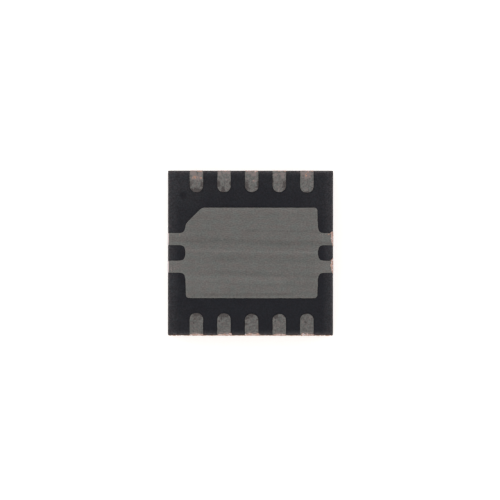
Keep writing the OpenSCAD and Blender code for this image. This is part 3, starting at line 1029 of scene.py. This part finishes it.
silicon = {
    "street": (0.10, 0.11, 0.13, 1),
    "block": (0.16, 0.14, 0.20, 1),
    "back": ((0.22, 0.23, 0.25, 1), 0.3),
    "cells": {"Scale": 7.0},
    "grain": {"Size": 0.01, "Blotch": 0.2},
    "rough": (0.12, 0.25),
    "relief": 0.0004,
}
adhesive = {
    "resin": ((0.36, 0.36, 0.37, 1), 0.4),
    "flake": (0.62, 0.62, 0.64, 1),
    "grain": {"Size": 0.014},
    "flakes": {"Size": 0.008, "Amount": 0.5},
    "rough": (0.4, 0.6),
    "relief": 0.002,
}


def paintSilicon(shader, place, tones):
    cells = addNode("ShaderNodeTexVoronoi", {"Vector": place, **tones["cells"]}, distance="CHEBYCHEV")
    colour = blend(remap(cells[0], 0.25, 0.45), tones["block"], tones["street"])
    fine = useGroup(grain, place, tones["grain"])
    colour = cover(colour, fine["Shade"], tones["back"])
    dress(shader, colour, fine, tones)


def paintAdhesive(shader, place, tones):
    fine = useGroup(grain, place, tones["grain"])
    flake = useGroup(flecks, place, tones["flakes"])["Mask"]
    colour = blend(flake, tones["resin"][0], tones["flake"])
    colour = cover(colour, fine["Shade"], tones["resin"])
    dress(shader, colour, fine, tones, times(flake, 0.7))


compoundFinish = newMaterial("moulding_compound", paintCompound, compound, mouldBlock)
padFinish = newMaterial("plated_pad", paintPlating, plating, padPlating)
landFinish = newMaterial("plated_land", paintPlating, plating, landPlating)
burrAndGlintFinish = newMaterial("smeared_copper_and_glints", paintBareCopperAndGlints, plating, smearedCopper)
scrapAndGlintFinish = newMaterial("copper_scraps_and_glints", paintScrapsAndGlints, plating, scrapAndGlintTones)
wireFinish = newMaterial("drawn_copper", paintBareCopperAndGlints, plating, drawnCopper)
siliconFinish = newMaterial("silicon", paintSilicon, silicon)
adhesiveFinish = newMaterial("silver_adhesive", paintAdhesive, adhesive)
print("materials made")

makeMouldBlock(compoundFinish, mouldBlock)
print("moulded block made")
makePlatedPiece("die_pad", "plated_pad", padFinish, platedPad, 60.0)
for i, number in enumerate(leadNumbers):
    name = f"lead_{number}"
    makePlatedPiece(name, "plated_" + name, landFinish, platedLand, 70.0 + 7 * i, number)
print("pad and lands made")
makeSawBurrs(burrAndGlintFinish, sawBurrs)
makeScrapsAndGlints(scrapAndGlintFinish, scrapsAndGlints)
print("saw burrs and copper scraps made")

innerFinishes = {"die": siliconFinish, "die_attach": adhesiveFinish, **dict.fromkeys(wireNames, wireFinish)}
for name, finish in innerFinishes.items():
    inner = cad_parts[name]
    inner.data.materials.clear()
    inner.data.materials.append(finish)
print("inner pieces finished")


# Stage, light and camera

stage = {
    "floorSize": 0.6,
    "floorColour": (0.88, 0.86, 0.835, 1),
    "openingGap": 0.002,  # the floor is open under the chip and this far out, mm
    "glow": (0.555, 0.53, 0.51, 1),
    "zenith": (0.80, 0.81, 0.83, 1),
    "horizon": (0.92, 0.92, 0.92, 1),
    "lampDistance": 0.3,
    "lampSize": 0.12,
    # compass angle, height angle, power
    "lamps": [(150, 40, 0.085), (20, 50, 0.035), (265, 35, 0.045)],
}
view = {
    "pixel": 0.5 / 27.62,  # millimetres for each pixel of the photograph
    "frame": 500,
    "centre": (250.45, 252.9),  # where the body's centre lies in the photograph
    "roll": 0.04,  # degrees that the body is turned clockwise there
    "distance": 120.0,  # from the soldered side, mm
    "lean": 0.9,  # degrees that the camera stands towards -Y
}


def paintFloor(shader, place, settings):
    fine = useGroup(grain, place, {"Size": 0.5})
    white = settings["floorColour"]
    nodes = shader.id_data.nodes
    path = nodes.new("ShaderNodeLightPath").outputs
    seen = plus(path["Is Camera Ray"], path["Is Glossy Ray"])
    # from below the floor can be looked through, so the marked face shows
    behind = nodes.new("ShaderNodeNewGeometry").outputs["Backfacing"]
    setInputs(shader, {
        "Base Color": blend(fine["Shade"], white, [c * 0.99 for c in white[:3]] + [1]),
        "Roughness": 0.9,
        "Specular IOR Level": 0.0,
        "Emission Color": settings["glow"],
        "Emission Strength": plus(seen, path["Is Transmission Ray"], True),
        "Alpha": minus(1.0, behind),
    })


def makeFloor(settings):
    rims = [[settings["floorSize"] / 2] * 2, [(mouldHigh[i] + settings["openingGap"]) * mm for i in (0, 1)]]
    corners = [(x * w, y * h, 0) for w, h in rims for x, y in ((-1, -1), (1, -1), (1, 1), (-1, 1))]
    mesh = bpy.data.meshes.new("floor")
    mesh.from_pydata(corners, [], [(i, (i + 1) % 4, 4 + (i + 1) % 4, 4 + i) for i in range(4)])
    mesh.materials.append(newMaterial("white_floor", paintFloor, settings))
    newObject("floor", mesh)


def makeWorld(settings):
    world = bpy.data.worlds.new("studio")
    bpy.context.scene.world = world
    world.use_nodes = True
    nodes = world.node_tree.nodes
    up = splitVector(nodes.new("ShaderNodeTexCoord").outputs["Generated"])[2]
    colour = blend(remap(up, 0.25, 0.9), settings["horizon"], settings["zenith"])
    setInputs(nodes["Background"], {"Color": colour, "Strength": 1.0})


def makeLamps(settings):
    for compass, height, power in settings["lamps"]:
        lamp = bpy.data.lights.new("softbox", "AREA")
        lamp.shape = "DISK"
        lamp.size = settings["lampSize"]
        lamp.energy = power
        holder = newObject("softbox", lamp)
        turn, lift = math.radians(compass), math.radians(height)
        place = Vector((math.cos(turn) * math.cos(lift), math.sin(turn) * math.cos(lift), math.sin(lift)))
        holder.location = place * settings["lampDistance"]
        holder.rotation_euler = place.to_track_quat("Z", "Y").to_euler()


def makeCamera(settings):
    data = bpy.data.cameras.new("camera")
    camera = newObject("camera", data)
    pixel, half = settings["pixel"], settings["frame"] / 2
    aim = Vector(((half - settings["centre"][0]) * pixel, (settings["centre"][1] - half) * pixel, landTop))
    lean = math.radians(settings["lean"])
    away = Vector((0, -math.sin(lean), math.cos(lean))) * settings["distance"]
    camera.location = (aim + away) * mm
    camera.rotation_euler = (lean, 0, math.radians(settings["roll"]))
    data.sensor_width = 36
    data.lens = data.sensor_width * settings["distance"] / (settings["frame"] * pixel)
    data.clip_start = 0.01
    data.clip_end = 10
    bpy.context.scene.camera = camera


makeFloor(stage)
makeWorld(stage)
makeLamps(stage)
makeCamera(view)
bpy.context.scene.view_settings.view_transform = "Standard"
print("stage, light and camera made")
